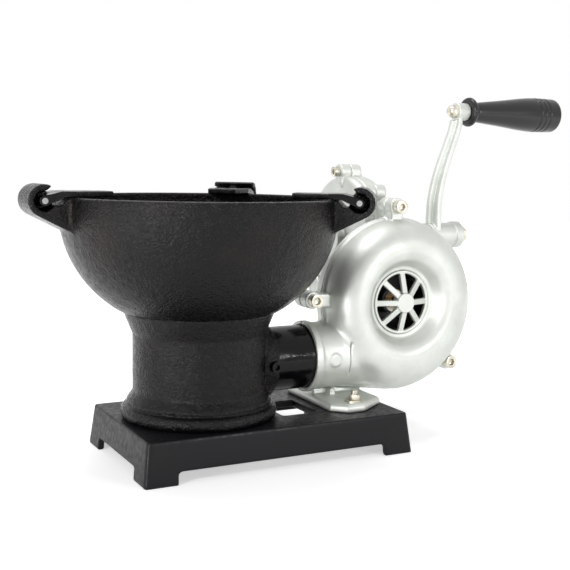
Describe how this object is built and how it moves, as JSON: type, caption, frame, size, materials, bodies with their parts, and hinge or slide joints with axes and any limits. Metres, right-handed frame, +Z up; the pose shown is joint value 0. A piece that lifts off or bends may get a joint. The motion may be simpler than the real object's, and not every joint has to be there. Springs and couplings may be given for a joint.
{
  "type": "hand crank forge blower",
  "caption": "Small cast fire bowl on a pedestal, blown by a hand cranked fan blower with a worm gear, a spoked inlet and pot rests hooked over the rim.",
  "frame": {"origin": "on the floor under the middle of the whole outline, with the crank standing up; the base plate's centre is 105.9 mm from it towards -X and 10.5 mm towards -Y", "axes": "+X along the base from the fire bowl to the blower, +Y away from the fan's inlet side, +Z up"},
  "size_m": [0.6269, 0.2688, 0.3443],
  "materials": {
    "painted_base": "satin black enamel on cast iron, worn through at the edges",
    "black_iron": "rough sand-cast skin, semi-gloss black",
    "grey_iron": "bare sand-cast iron",
    "black_pipe": "gloss black paint on steel pipe",
    "cast_aluminium": "tumbled sand-cast skin, satin",
    "plated_steel": "zinc plated",
    "steel": "turned, lightly oiled",
    "bronze": "cast bearing bronze",
    "brass_nut": "plain",
    "black_grip": "turned, satin"
  },
  "bodies": {
    "stand": {"base_plate": "painted_base", "pedestal": "black_iron", "pedestal_bolts": "plated_steel", "fire_bowl": "black_iron", "fire_grate": "grey_iron", "pot_rest_pins": "steel", "air_pipe": "black_pipe", "pipe_set_screw": "plated_steel", "blower_housing": "cast_aluminium", "front_cover": "cast_aluminium", "inlet_guard": "cast_aluminium", "housing_screws": "plated_steel", "gear_case_cover": "cast_aluminium", "gear_cover_screws": "plated_steel", "tunnel_cap": "cast_aluminium", "fan_bushes": "bronze", "crank_bushes": "bronze", "foot_bolts": "plated_steel", "foot_washers": "plated_steel", "foot_nuts": "plated_steel"},
    "fan": {"fan_shaft": "steel", "worm": "steel", "impeller": "cast_aluminium", "impeller_washer": "plated_steel", "impeller_nut": "brass_nut"},
    "crank": {"crank_shaft": "steel", "worm_wheel": "bronze", "crank_arm": "cast_aluminium", "crank_nut": "plated_steel", "grip_spindle": "steel", "spindle_nut": "plated_steel"},
    "grip": {"crank_grip": "black_grip"},
    "pot_rest_left": {"pot_rest_left": "black_iron"},
    "pot_rest_front": {"pot_rest_front": "black_iron"},
    "pot_rest_rear": {"pot_rest_rear": "black_iron"}
  },
  "joints": [
    {"name": "crank_turn", "type": "hinge", "parent": "stand", "child": "crank", "pos_m": [0.0465, 0.0625, 0.19], "axis": [-1, 0, 0], "continuous": true},
    {"name": "fan_turn", "type": "hinge", "parent": "stand", "child": "fan", "pos_m": [0.0465, -0.0105, 0.133], "axis": [0, 1, 0], "continuous": true},
    {"name": "grip_turn", "type": "hinge", "parent": "crank", "child": "grip", "pos_m": [0.2521, 0.0625, 0.325], "axis": [1, 0, 0], "continuous": true},
    {"name": "pot_rest_left_pivot", "type": "hinge", "parent": "stand", "child": "pot_rest_left", "pos_m": [-0.2999, -0.0105, 0.2325], "axis": [0, -1, 0], "range_deg": [0, 30]},
    {"name": "pot_rest_front_pivot", "type": "hinge", "parent": "stand", "child": "pot_rest_front", "pos_m": [-0.03976, -0.09252, 0.2325], "axis": [0.5736, 0.8192, 0], "range_deg": [0, 30]},
    {"name": "pot_rest_rear_pivot", "type": "hinge", "parent": "stand", "child": "pot_rest_rear", "pos_m": [-0.07084, 0.10371, 0.2325], "axis": [-0.7986, 0.6018, 0], "range_deg": [0, 30]}
  ],
  "couplings": [
    {"joint": "fan_turn", "follows": "crank_turn", "ratio": 12}
  ]
}
